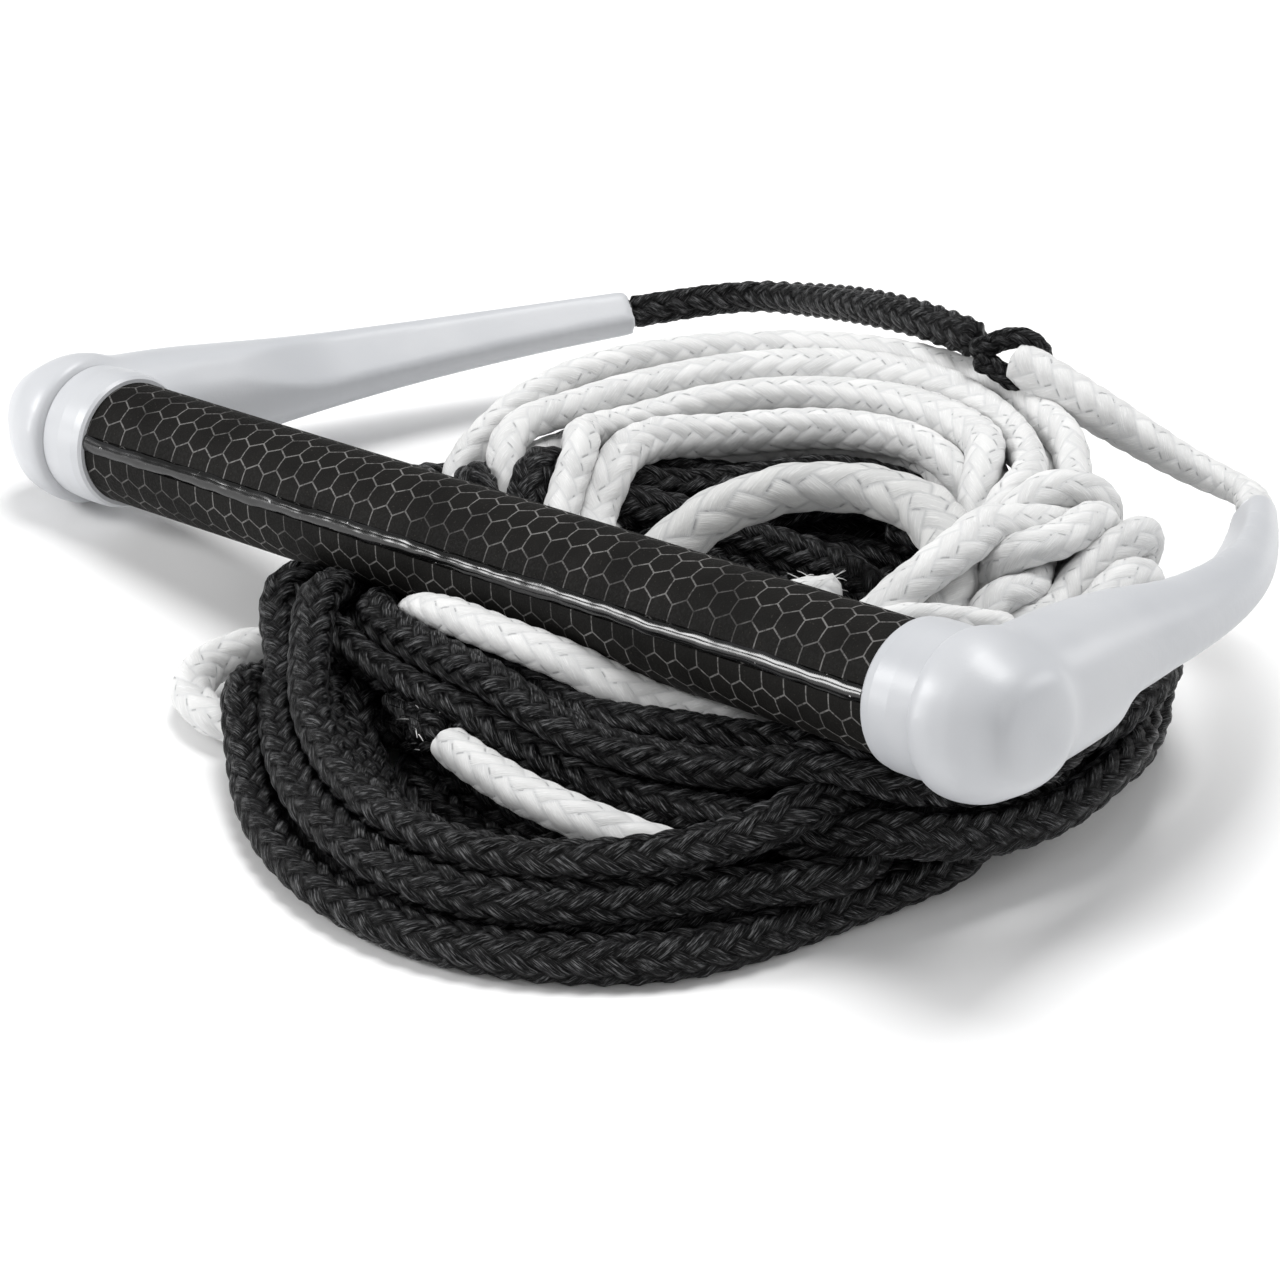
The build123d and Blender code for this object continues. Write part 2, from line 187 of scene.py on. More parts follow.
def resample(line, gap):
    """Points at an even gap along a line, and how far along it each of them lies."""
    line = np.asarray(line, float)
    at = distances(line)
    wanted = np.linspace(0, at[-1], int(round(at[-1] / gap)) + 1)
    spread = np.stack([np.interp(wanted, at, line[:, axis]) for axis in range(3)], axis=1)
    return spread, wanted


def nurbs_line(name, points):
    """Points along a smooth NURBS spline with these control points."""
    curve = bpy.data.curves.new(name, "CURVE")
    curve.dimensions = "3D"
    spline = curve.splines.new("NURBS")
    spline.points.add(len(points) - 1)
    for target, point in zip(spline.points, points):
        target.co = (*(Vector(point) * MM), 1.0)
    spline.order_u = 3
    spline.use_endpoint_u = True
    spline.resolution_u = 8
    holder = bpy.data.objects.new(name, curve)
    bpy.context.collection.objects.link(holder)
    mesh = bpy.data.meshes.new_from_object(holder)
    line = np.array([tuple(v.co) for v in mesh.vertices]) / MM
    bpy.data.objects.remove(holder)
    bpy.data.curves.remove(curve)
    bpy.data.meshes.remove(mesh)
    return line


# The coil's sections: turns as (reach from their own middle, height) at each side
COILS = {
    "black_front": dict(
        middle=(45.0, -60.0), seed=3, dents=((300.0, -0.05), (338.0, 0.06), (238.0, 0.04)),
        backs=[(56, 5), (64, 5), (72, 5), (80, 5), (88, 5), (76, 13), (84, 13), (78, 20)],
        lefts=[(54, 5), (62, 5), (71, 5), (79, 5), (87, 6), (74, 13), (82, 14), (76, 20)],
        fronts=[(52, 5), (62, 5), (72, 5), (81, 5), (89, 5), (70, 13), (82, 13), (76, 20)],
        rights=[(50, 5), (57, 5), (64, 5), (69, 5), (74, 6), (66, 13), (71, 14), (75, 21)],
        last=[(60, 8)]),
    "black_side": dict(
        middle=(45.0, -40.0), seed=5, dents=((330.0, 0.05), (32.0, -0.06)),
        backs=[(84, 13), (100, 14), (96, 21), (104, 22), (98, 29)],
        lefts=[(82, 12), (88, 13), (74, 14), (80, 20), (70, 22)],
        fronts=[(40, 12), (50, 22), (42, 18), (45, 28), (38, 26)],
        rights=[(73, 12), (80, 13), (75, 20), (82, 21), (77, 27)],
        last=[(78, 14)]),
    "black_back": dict(
        middle=(28.0, -12.0), seed=8,
        backs=[(82, 5), (73, 5), (78, 13), (69, 13), (82, 21), (74, 29)],
        lefts=[(82, 5), (73, 5), (66, 12), (76, 12), (84, 20), (76, 22)],
        fronts=[(84, 5), (58, 6), (68, 12), (60, 13), (52, 20), (56, 20)],
        rights=[(92, 5), (84, 5), (88, 13), (80, 13), (84, 21), (78, 28)],
        last=[(60, 20)]),
    "white_coil": dict(
        middle=(22.0, -5.0), seed=13, skip=1, dents=((217.0, 0.13),),
        backs=[(52, 30), (60, 32), (68, 34), (77, 36), (56, 41), (64, 44), (72, 46), (80, 46)],
        lefts=[(42, 12), (50, 16), (58, 20), (68, 26), (48, 26), (60, 32), (70, 38), (79, 42)],
        fronts=[(52, 6), (58, 12), (64, 8), (60, 18), (56, 20), (66, 22), (77, 22), (83, 27)],
        rights=[(52, 20), (60, 24), (68, 28), (74, 34), (56, 34), (66, 38), (72, 42), (78, 38)]),
}
# The folded bights beside the right cap: their root, the step to the next one, and their tips
HANK_ROOT, HANK_STEP = (91.0, -16.0, 29.0), (4.5, 3.0, -0.5)
HANK_TIPS = [(88.0, 50.0, 50.0), (95.0, 41.0, 49.0), (101.0, 47.0, 46.0), (107.5, 39.0, 40.0)]
# One bight, out above and back beneath, as (share of its length, shift sideways, lift)
BIGHT = [
    (0.0, -1.0, 3.0), (0.35, -1.5, 4.6), (0.7, -1.5, 4.8), (0.93, -1.0, 3.6), (1.0, 0.0, -0.5),
    (0.93, 1.0, -4.2), (0.7, 1.5, -4.8), (0.35, 1.5, -5.0), (0.0, 1.0, -6.0),
]


def hank_route():
    """Folded bights: runs out from under the right cap to four tips, and back beneath."""
    points = []
    for index, tip in enumerate(HANK_TIPS):
        base = np.array(HANK_ROOT) + np.array(HANK_STEP) * index
        out = tip - base
        side = np.array((out[1], -out[0], 0.0)) / np.linalg.norm(out[:2])
        for part, shift, lift in BIGHT:
            points.append(base + out * part + side * shift + (0, 0, lift))
    return points


# -------- settling
SETTLE_ROUNDS = 260
FREE_SHARE = 0.8  # the share of the rounds in which ropes sink and are pulled home
SINK, HOME_PULL = 0.03, 0.02  # in each round, as STIFFNESS and STRETCH_FIX
STIFFNESS, STRETCH_FIX = 0.22, 0.45
PAIR_ROUNDS, PAIR_REACH = 10, 5.0
ROPE_NEIGHBOURS = 5  # points this near to each other along one rope don't collide
SMALL = 0.05  # keeps a division from failing where two points meet


def handle_capsules():
    """Round-ended bars that the handle fills: two ends and a radius each."""
    spans = [((-GRIP_END, 0, 0), (GRIP_END, 0, 0), GRIP_RADIUS + 0.2)]
    for side in (-1, 1):
        spans.append(((side * GRIP_END, 0, 0), (side * COLLAR_END, 0, 0), COLLAR_RADIUS))
        spans.append(((side * CAP_FROM, 0, 0), (side * CAP_TO, 0, 0), CAP_RADIUS + 0.4))
    for arm in (LEFT_ARM, RIGHT_ARM):
        for start, end in zip(arm, arm[1:]):
            radius = (start[3] + start[4] + end[3] + end[4]) / 4
            spans.append((start[:3], end[:3], radius))
    return [(np.array(in_part_frame(a)), np.array(in_part_frame(b)), r) for a, b, r in spans]


def near_pairs(points, radii, rope, order):
    """Index pairs of points near enough to touch, leaving out close neighbours on a rope."""
    square = (points**2).sum(axis=1)
    gap2 = square[:, None] + square[None, :] - 2 * points @ points.T
    limit = radii[:, None] + radii[None, :] + PAIR_REACH
    first, second = np.nonzero(np.triu(gap2 < limit**2, 1))
    along = np.abs(order[first] - order[second])
    apart = (rope[first] != rope[second]) | (along > ROPE_NEIGHBOURS)
    return first[apart], second[apart]


def overlap(gap, reach):
    """What each gap lacks until it is as long as reach: as vectors, and as lengths."""
    dist = np.maximum(np.linalg.norm(gap, axis=1), SMALL)
    over = np.maximum(reach - dist, 0)
    return gap * (over / dist)[:, None], over


def settle(ropes):
    """Lets the ropes lie down on each other, the floor and the handle.

    ropes is a list of (points, radius, held), where a held rope doesn't move.
    """
    points = np.concatenate([line for line, _, _ in ropes])
    radii = np.concatenate([np.full(len(line), r) for line, r, _ in ropes])
    rope = np.concatenate([np.full(len(line), k) for k, (line, _, _) in enumerate(ropes)])
    order = np.concatenate([np.arange(len(line)) for line, _, _ in ropes])
    free = np.concatenate([np.full(len(line), 0.0 if held else 1.0) for line, _, held in ropes])
    home = points.copy()
    link = np.nonzero(rope[:-1] == rope[1:])[0]
    rest = np.linalg.norm(points[link + 1] - points[link], axis=1)
    inner = np.nonzero(rope[:-2] == rope[2:])[0] + 1
    capsules = handle_capsules()
    for turn in range(SETTLE_ROUNDS):
        if turn % PAIR_ROUNDS == 0:
            first, second = near_pairs(points, radii, rope, order)
            movers = np.maximum(free[first] + free[second], 1.0)
        if turn <= SETTLE_ROUNDS * FREE_SHARE:
            points[:, 2] -= SINK * free
            points += (home - points) * (free * HOME_PULL)[:, None]
        bend = (points[inner - 1] + points[inner + 1]) / 2 - points[inner]
        points[inner] += STIFFNESS * bend * free[inner][:, None]
        run = points[link + 1] - points[link]
        length = np.linalg.norm(run, axis=1)
        fix = run * (STRETCH_FIX * (length - rest) / length)[:, None]
        points[link] += fix * free[link][:, None]
        points[link + 1] -= fix * free[link + 1][:, None]
        push, over = overlap(points[first] - points[second], radii[first] + radii[second])
        move = np.zeros_like(points)
        hits = np.ones(len(points))
        for touched, way in ((first, 1), (second, -1)):
            np.add.at(move, touched, way * push * (free[touched] / movers)[:, None])
            np.add.at(hits, touched, (over > 0) * 0.5)
        points += move * free[:, None] / np.sqrt(hits)[:, None]
        for start, end, radius in capsules:
            axis = end - start
            part = np.clip((points - start) @ axis / (axis @ axis), 0, 1)
            away = points - (start + part[:, None] * axis)
            points += overlap(away, radius + radii)[0] * free[:, None]
        points[:, 2] = np.where(free > 0, np.maximum(points[:, 2], radii), points[:, 2])
    return [points[rope == k] for k in range(len(ropes))]


# -------- braided tubes
STRANDS = 6  # strands each way round
STITCH = 0.74  # a stitch's pitch along the rope, in diameters
STEPS_PER_STITCH = 4
ROUND_STEPS = 36
ROUNDED_END = 0.22  # how far the rounding of a rope's end reaches, in diameters
BLACK_RELIEF, WHITE_RELIEF = 0.12, 0.05


def new_piece(name, verts, faces, material=None):
    """An object in the scene with a mesh of these points and faces."""
    mesh = bpy.data.meshes.new(name)
    mesh.from_pydata(verts, [], faces)
    if material is not None:
        mesh.materials.append(material)
    piece = bpy.data.objects.new(name, mesh)
    bpy.context.collection.objects.link(piece)
    return piece


def shade_smooth(mesh):
    mesh.polygons.foreach_set("use_smooth", [True] * len(mesh.polygons))


def carried_frames(line):
    """The way ahead at each point, and two directions square to it, carried without twist."""
    ahead = np.gradient(line, axis=0)
    ahead /= np.linalg.norm(ahead, axis=1)[:, None]
    side = np.cross(ahead[0], (0.0, 0.0, 1.0))
    if np.linalg.norm(side) < 0.1:
        side = np.cross(ahead[0], (0.0, 1.0, 0.0))
    sides = np.empty_like(line)
    for index, way in enumerate(ahead):
        side = side - way * (side @ way)
        side /= np.linalg.norm(side)
        sides[index] = side
    return ahead, sides, np.cross(ahead, sides)


def braid_height(around, along):
    """0 to 1: how far a strand stands out, where each goes over two others and under two."""
    a = STRANDS * around + along
    b = STRANDS * around - along
    a_cell, b_cell = np.floor(a), np.floor(b)
    place = (a_cell + b_cell) % 4
    over = place < 1.5
    second = place % 2
    a_mid, b_mid = a - a_cell - 0.5, b - b_cell - 0.5
    across = np.where(over, a_mid, b_mid)
    length = (np.where(over, b_mid, a_mid) + second - 0.5) / 2
    return np.cos(math.pi * across) ** 0.8 * np.cos(math.pi * length) ** 0.6


def tube_rings(line, side, up, radius, turn):
    """Rings of points round a line, with a radius for each point and each turn."""
    return (line[:, None, :] + (radius * np.cos(turn))[:, :, None] * side[:, None, :]
            + (radius * np.sin(turn))[:, :, None] * up[:, None, :])


def grid_mesh(name, rings, stitches, material):
    """A closed tube from rings of points, with its UVs counting turns and stitches.

    No point goes below the floor.
    """
    count, around = rings.shape[:2]
    rings = np.maximum(rings, (-np.inf, -np.inf, 0.0))
    verts = np.concatenate([rings.reshape(-1, 3) * MM, rings[0].mean(axis=0)[None] * MM,
                            rings[-1].mean(axis=0)[None] * MM])
    row = np.arange(count - 1)[:, None] * around
    step = np.arange(around)[None, :]
    after = (step + 1) % around
    quads = np.stack([row + step, row + after, row + around + after, row + around + step],
                     axis=-1).reshape(-1, 4)
    faces = quads.tolist()
    first, last = count * around, count * around + 1
    for index in range(around):
        follow = (index + 1) % around
        faces.append([first, follow, index])
        faces.append([last, (count - 1) * around + index, (count - 1) * around + follow])
    u0, u1, v0, v1 = (
        np.broadcast_to(values, (count - 1, around))
        for values in (step / around, (step + 1) / around, stitches[:-1, None],
                       stitches[1:, None]))
    corners = np.stack([u0, v0, u1, v0, u1, v1, u0, v1], axis=-1).reshape(-1, 2)
    tips = np.zeros((around, 2, 3, 2))
    tips[:, 0, :, 1], tips[:, 1, :, 1] = stitches[0], stitches[-1]
    corners = np.concatenate([corners, tips.reshape(-1, 2)])
    piece = new_piece(name, verts.tolist(), faces, material)
    uv = piece.data.uv_layers.new(name="braid")
    uv.data.foreach_set("uv", corners.ravel())
    shade_smooth(piece.data)
    return piece


def braided_tube(name, line, diameter, material, seed=0, flatten=0.08, swell=0.04,
                 relief=0.075, profile=None):
    """A hollow-braided rope along the line: strands over and under, a little uneven.

    flatten is how oval it is, swell how much its thickness varies, and relief how far its
    strands stand out, each as a share of its radius. profile gives a further factor for the
    radius, from the share of the length.
    """
    pitch = STITCH * diameter
    line, at = resample(line, pitch / STEPS_PER_STITCH)
    _, side, up = carried_frames(line)
    rng = np.random.default_rng(seed)
    phase = rng.uniform(0, 2 * math.pi, 4)
    stitches = at / pitch + 0.10 * np.sin(at / 37.0 + phase[0])
    around = np.arange(ROUND_STEPS) / ROUND_STEPS
    turn = 2 * math.pi * around[None, :]
    roll = phase[1] + at[:, None] / 61.0
    size = 1 + swell * np.sin(at / 23.0 + phase[2]) * np.sin(at / 71.0 + phase[3])
    if profile is not None:
        size = size * profile(at / at[-1])
    from_end = np.minimum(at, at[-1] - at) / (ROUNDED_END * diameter)
    size = size * np.sqrt(1 - 0.75 * (1 - np.clip(from_end, 0, 1)) ** 2)
    oval = 1 + flatten * np.cos(2 * (turn - roll))
    height = braid_height(around[None, :], stitches[:, None])
    radius = diameter / 2 * size[:, None] * oval * (1 - relief + 2 * relief * height)
    return grid_mesh(name, tube_rings(line, side, up, radius, turn), stitches, material), line


def stand_in(piece, slot, *nodes):
    """A piece that stands for these CAD nodes, which are hidden, and hangs from the root body. slot
    is not used.
    """
    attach(piece, "root")
    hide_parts(*nodes)
    return piece


def declare_rope(piece, line, diameter, slot, node, lay="coiled", with_pieces=()):
    """A rope that stands for a CAD node. line is not used."""
    stand_in(piece, slot, node)


# -------- materials
class Nodes:
    """A short way to write a material's nodes."""

    def __init__(self, name):
        self.material = bpy.data.materials.new(name)
        self.material.use_nodes = True
        self.tree = self.material.node_tree
        self.shader = self.tree.nodes["Principled BSDF"]

    def add(self, kind, **values):
        node = self.tree.nodes.new(kind)
        for key, value in values.items():
            setattr(node, key, value)
        return node

    def link(self, source, target):
        self.tree.links.new(source, target)

    def feed(self, socket, value):
        if isinstance(value, bpy.types.NodeSocket):
            self.link(value, socket)
        elif isinstance(value, (tuple, list)) and len(value) == 3 and socket.type == "RGBA":
            socket.default_value = (*value, 1.0)
        else:
            socket.default_value = value

    def fed(self, kind, values, **settings):
        """The first output of a node whose first inputs get these values."""
        node = self.add(kind, **settings)
        for socket, value in zip(node.inputs, values):
            self.feed(socket, value)
        return node.outputs[0]

    def math(self, what, *values):
        return self.fed("ShaderNodeMath", values, operation=what)

    def plus(self, *values):
        return self.math("ADD", *values)

    def minus(self, *values):
        return self.math("SUBTRACT", *values)

    def times(self, *values):
        return self.math("MULTIPLY", *values)

    def within(self, value, pitch):
        """What is left of a value past the last whole pitch."""
        return self.math("FLOORED_MODULO", value, pitch)

    def mix(self, part, first, second):
        node = self.add("ShaderNodeMix", data_type="RGBA")
        self.feed(node.inputs[0], part)
        self.feed(node.inputs[6], first)
        self.feed(node.inputs[7], second)
        return node.outputs[2]

    def smooth(self, value, low, high, to_low=0.0, to_high=1.0):
        return self.fed("ShaderNodeMapRange", (value, low, high, to_low, to_high),
                        interpolation_type="SMOOTHSTEP")

    def combine(self, *values):
        return self.fed("ShaderNodeCombineXYZ", values)

    def split(self, vector):
        node = self.add("ShaderNodeSeparateXYZ")
        self.link(vector, node.inputs[0])
        return node.outputs

    def mapped(self, vector_type="POINT", **inputs):
        """The object's own coordinates, moved, turned or scaled."""
        node = self.add("ShaderNodeMapping", vector_type=vector_type)
        self.link(self.place(), node.inputs["Vector"])
        for key, value in inputs.items():
            node.inputs[key].default_value = value
        return node.outputs[0]

    def noise(self, vector, scale, detail=3.0, roughness=0.5):
        node = self.add("ShaderNodeTexNoise")
        self.link(vector, node.inputs["Vector"])
        node.inputs["Scale"].default_value = scale
        node.inputs["Detail"].default_value = detail
        node.inputs["Roughness"].default_value = roughness
        return node.outputs["Fac"]

    def bump(self, height, distance, strength=1.0, normal=None):
        node = self.add("ShaderNodeBump")
        node.inputs["Strength"].default_value = strength
        node.inputs["Distance"].default_value = distance
        self.link(height, node.inputs["Height"])
        if normal is not None:
            self.link(normal, node.inputs["Normal"])
        return node.outputs[0]

    def place(self):
        return self.add("ShaderNodeTexCoord").outputs["Object"]

    def finish(self, color, roughness, normal=None, **fixed):
        self.feed(self.shader.inputs["Base Color"], color)
        self.feed(self.shader.inputs["Roughness"], roughness)
        if normal is not None:
            self.link(normal, self.shader.inputs["Normal"])
        for key, value in fixed.items():
            self.feed(self.shader.inputs[key.replace("_", " ")], value)
        return self.material


def braid_material(name, body, shade, glint, gap, roughness, fibre_bump, dome_bump, hollow,
                   specular):
    """Braided filament: strands go over two and under two, each of shiny parallel fibres. The
    fibres' glint colour is a painted highlight; the gap colour at the strands' edges and the dark
    dashes in the holes where they cross are painted shade.
    """
    n = Nodes(name)
    turn, stitches, _ = n.split(n.add("ShaderNodeUVMap", uv_map="braid").outputs[0])
    around = n.times(turn, float(STRANDS))
    a, b = n.plus(around, stitches), n.minus(around, stitches)
    a_cell, b_cell = n.math("FLOOR", a), n.math("FLOOR", b)
    a_mid = n.minus(n.minus(a, a_cell), 0.5)
    b_mid = n.minus(n.minus(b, b_cell), 0.5)
    place = n.within(n.plus(a_cell, b_cell), 4.0)
    under = n.math("GREATER_THAN", place, 1.5)
    over = n.minus(1.0, under)
    second = n.within(place, 2.0)

    def of_the_upper(if_over, if_under):
        return n.plus(n.times(if_over, over), n.times(if_under, under))

    across, length = of_the_upper(a_mid, b_mid), of_the_upper(b_mid, a_mid)
    length = n.times(n.plus(length, n.minus(second, 0.5)), 0.5)
    strand, stitch = of_the_upper(a_cell, b_cell), of_the_upper(b_cell, a_cell)
    cell = n.combine(n.within(strand, 997.0), n.within(n.minus(stitch, second), 991.0), under)
    hashed = n.add("ShaderNodeTexWhiteNoise", noise_dimensions="3D")
    n.link(cell, hashed.inputs["Vector"])
    tone = hashed.outputs["Value"]
    wide, long = n.math("ABSOLUTE", across), n.math("ABSOLUTE", length)
    fibre_at = n.combine(n.times(across, 11.0), n.times(length, 1.6), n.times(tone, 37.0))
    fibres = n.noise(fibre_at, 1.6, detail=4.0, roughness=0.62)
    side_edge, end_edge = n.smooth(wide, 0.36, 0.5), n.smooth(long, 0.38, 0.5)
    edge = n.math("MAXIMUM", n.times(side_edge, 0.75), end_edge)
    fibre_color = n.mix(n.smooth(fibres, 0.48, 0.72, 0.0, 0.6), n.mix(tone, body, shade), glint)
    # Painted shade: the strands' edges take the gap colour, for the shade in the gaps between
    # strands.
    color = n.mix(n.times(edge, 0.8), fibre_color, gap)
    # Painted shade: near-black dashes in the holes where strands cross, which lie in shade.
    if hollow:
        deep = n.times(n.smooth(long, 0.42, 0.49), n.smooth(wide, 0.30, 0.16))
        seen = n.math("GREATER_THAN", n.noise(n.place(), 170.0), 0.52)
        color = n.mix(n.times(n.times(deep, seen), hollow), color, (0.03, 0.03, 0.035))
    crown = n.times(n.minus(1.0, n.math("POWER", n.times(wide, 2.0), 2.4)),
                    n.minus(1.0, n.math("POWER", n.times(long, 2.0), 4.0)))
    normal = n.bump(fibres, fibre_bump, 0.7, n.bump(crown, dome_bump, 0.8))
    rough = n.plus(n.times(fibres, 0.25), roughness)
    return n.finish(color, rough, normal, Specular_IOR_Level=specular)


# gap is painted shade between the strands, hollow the strength of the painted shade in the holes
# where they cross, glint a painted highlight on the fibres.
black_braid = braid_material(
    "black braid", body=(0.0008, 0.0008, 0.0009), shade=(0.0030, 0.0030, 0.0034),
    glint=(0.30, 0.303, 0.31), gap=(0.0002, 0.0002, 0.0002), roughness=0.2,
    fibre_bump=0.0006, dome_bump=0.0018, hollow=0.0, specular=0.12)
white_braid = braid_material(
    "white braid", body=(0.74, 0.74, 0.735), shade=(0.62, 0.622, 0.62),
    glint=(0.86, 0.86, 0.86), gap=(0.60, 0.605, 0.61), roughness=0.5,
    fibre_bump=0.00030, dome_bump=0.00020, hollow=0.45, specular=0.3)
# A darker copy of the white braid for the thick spliced turn: painted shade, as that turn lies in
# shade.
shaded_white_braid = braid_material(
    "shaded white braid", body=(0.60, 0.60, 0.592), shade=(0.50, 0.502, 0.50),
    glint=(0.74, 0.74, 0.73), gap=(0.42, 0.425, 0.43), roughness=0.52,
    fibre_bump=0.00034, dome_bump=0.00025, hollow=0.4, specular=0.28)


def plastic_material(name, color, shade, roughness):
    """Moulded plastic with a fine matt texture and faint flow marks."""
    n = Nodes(name)
    place = n.place()
    flow = n.noise(place, 22.0, 3.0, 0.6)
    grain = n.noise(place, 1500.0, 2.0, 0.5)
    tint = n.mix(n.smooth(flow, 0.35, 0.65), color, shade)
    rough = n.plus(n.times(grain, 0.12), roughness)
    normal = n.bump(grain, 0.00004, 0.5, n.bump(flow, 0.0002, 0.25))
    return n.finish(tint, rough, normal)


def in_handle_frame(n):
    """The handle's own coordinates inside a material: along the bar, and across it."""
    return n.split(n.mapped("TEXTURE", Location=Vector(BAR_MIDDLE) * MM, Rotation=(
        math.radians(-ARM_DROP), math.radians(-BAR_TILT), 0)))


def cell_offset(n, value, pitch, shift):
    """How far a value lies from the middle of its cell."""
    return n.minus(n.within(n.plus(value, shift + pitch / 2), pitch), pitch / 2)


def hexagon_gap(n, along, around, side):
    """Distance from the nearest edge of a field of regular hexagons, in their unit."""
    wide, high = math.sqrt(3) * side, 3 * side
    fields = []
    for shift in (0.0, 0.5):
        x = n.math("ABSOLUTE", cell_offset(n, along, wide, shift * wide))
        y = n.math("ABSOLUTE", cell_offset(n, around, high, shift * high))
        slant = n.plus(n.times(x, 0.5), n.times(y, math.sqrt(3) / 2))
        fields.append(n.math("MAXIMUM", x, slant))
    return n.minus(wide / 2, n.math("MINIMUM", *fields))


HEX_ROWS = 16.35  # round the grip
HEX_SIDE = 2 * math.pi * GRIP_RADIUS / HEX_ROWS / 1.5
HEX_START = 1.8  # how far the first row is shifted from the seam
HEX_LINE = (0.10, 0.25)  # half a printed line's width, where it starts and stops fading
SEAM_ANGLE, SEAM_WIDTH = 14.5, 3.9


def grip_material():
    """Dark foam, with hexagons printed in thin worn grey lines."""
    n = Nodes("printed foam")
    along, across, height = in_handle_frame(n)
    angle = n.math("ARCTAN2", height, n.times(across, -1.0))
    from_seam = n.within(n.minus(angle, math.radians(SEAM_ANGLE)), 2 * math.pi)
    round_way = n.times(from_seam, GRIP_RADIUS * MM)
    gap = hexagon_gap(n, along, n.plus(round_way, HEX_START * MM), HEX_SIDE * MM)
    place = n.place()
    fleck = n.noise(place, 1400.0, 2.0, 0.6)
    patch = n.noise(place, 60.0, 3.0, 0.6)
    line = n.smooth(gap, HEX_LINE[0] * MM, HEX_LINE[1] * MM, 1.0, 0.0)
    worn = n.times(n.smooth(fleck, 0.3, 0.55, 0.3, 1.0), n.smooth(patch, 0.35, 0.62, 0.22, 0.85))
    foam = n.mix(n.smooth(patch, 0.35, 0.65), (0.0042, 0.0039, 0.0035), (0.0074, 0.0069, 0.0062))
    pore = n.mix(n.smooth(fleck, 0.62, 0.75), foam, (0.024, 0.0225, 0.020))
    color = n.mix(n.times(line, worn), pore, (0.20, 0.195, 0.19))
    rough = n.smooth(fleck, 0.3, 0.7, 0.62, 0.8)
    sunk = n.minus(fleck, n.times(line, 0.25))
    normal = n.bump(sunk, 0.00022, 0.5, n.bump(patch, 0.0004, 0.2))
    return n.finish(color, rough, normal, Specular_IOR_Level=0.11)


def seam_material():
    """Glossy black adhesive that has set in slow ripples, with pale scuffs."""
    n = Nodes("seam adhesive")
    streak = n.noise(n.mapped(Scale=(30.0, 420.0, 420.0)), 1.0, 2.0, 0.5)
    speck = n.noise(n.place(), 600.0, 2.0, 0.5)
    base = n.mix(n.smooth(streak, 0.45, 0.7), (0.003, 0.003, 0.003), (0.012, 0.012, 0.013))
    color = n.mix(n.smooth(speck, 0.71, 0.75, 0.0, 0.9), base, (0.5, 0.5, 0.5))
    rough = n.smooth(streak, 0.4, 0.7, 0.14, 0.22)
    return n.finish(color, rough, n.bump(streak, 0.00008, 0.3), Specular_IOR_Level=0.5)


def metal_material(name, color, roughness, scale):
    """Metal with fine turning marks along one way."""
    n = Nodes(name)
    mark = n.noise(n.mapped(Scale=scale), 1.0, 4.0, 0.6)
    tint = n.mix(mark, color, tuple(part * 0.8 for part in color))
    rough = n.smooth(mark, 0.3, 0.7, roughness, roughness + 0.12)
    return n.finish(tint, rough, n.bump(mark, 0.00005, 0.4), Metallic=1.0)


def foam_material(name, color, shade):
    """Closed-cell foam: packed bubbles with paler walls, their hollows darkened as painted shade.
    """
    n = Nodes(name)
    cells = n.add("ShaderNodeTexVoronoi")
    n.link(n.place(), cells.inputs["Vector"])
    cells.inputs["Scale"].default_value = 900.0
    bubble = cells.outputs["Distance"]
    # Painted shade: the bubbles' hollows take the darker shade colour.
    tint = n.mix(n.smooth(bubble, 0.1, 0.6), shade, color)
    return n.finish(tint, n.smooth(bubble, 0.0, 0.6, 0.7, 0.9), n.bump(bubble, 0.0004, 0.6))


def twisted_material(name, color, shade):
    """The rope inside the handle: slanting stitches in the part's own frame, with painted shade in
    the grooves between them.
    """
    n = Nodes(name)
    waves = []
    for way in (1.0, -1.0):
        turned = n.mapped(Rotation=(0, math.radians(45 * way), math.radians(40 * way)))
        wave = n.add("ShaderNodeTexWave", bands_direction="X")
        n.link(turned, wave.inputs["Vector"])
        wave.inputs["Scale"].default_value = 95.0
        wave.inputs["Distortion"].default_value = 1.2
        waves.append(wave.outputs["Fac"])
    weave = n.math("MAXIMUM", *waves)
    grain = n.noise(n.place(), 1800.0)
    # Painted shade: the grooves between the stitches take the darker shade colour.
    tint = n.mix(weave, shade, color)
    rough = n.smooth(grain, 0.3, 0.7, 0.45, 0.65)
    return n.finish(tint, rough, n.bump(weave, 0.0005, 0.6, n.bump(grain, 0.0001, 0.4)))


cap_plastic = plastic_material("cap plastic", (0.53, 0.54, 0.56), (0.485, 0.497, 0.52), 0.3)
plug_plastic = plastic_material("plug plastic", (0.03, 0.03, 0.032), (0.02, 0.02, 0.022), 0.4)
printed_foam = grip_material()
adhesive = seam_material()
aluminium = metal_material("aluminium", (0.78, 0.79, 0.8), 0.25, (30.0, 1500.0, 1500.0))
steel = metal_material("steel", (0.62, 0.62, 0.63), 0.22, (900.0, 120.0, 900.0))
core_foam = foam_material("core foam", (0.62, 0.6, 0.52), (0.42, 0.4, 0.34))
inner_black = twisted_material("inner black rope", (0.02, 0.02, 0.021), (0.004, 0.004, 0.004))
inner_white = twisted_material("inner white rope", (0.8, 0.8, 0.82), (0.45, 0.46, 0.5))

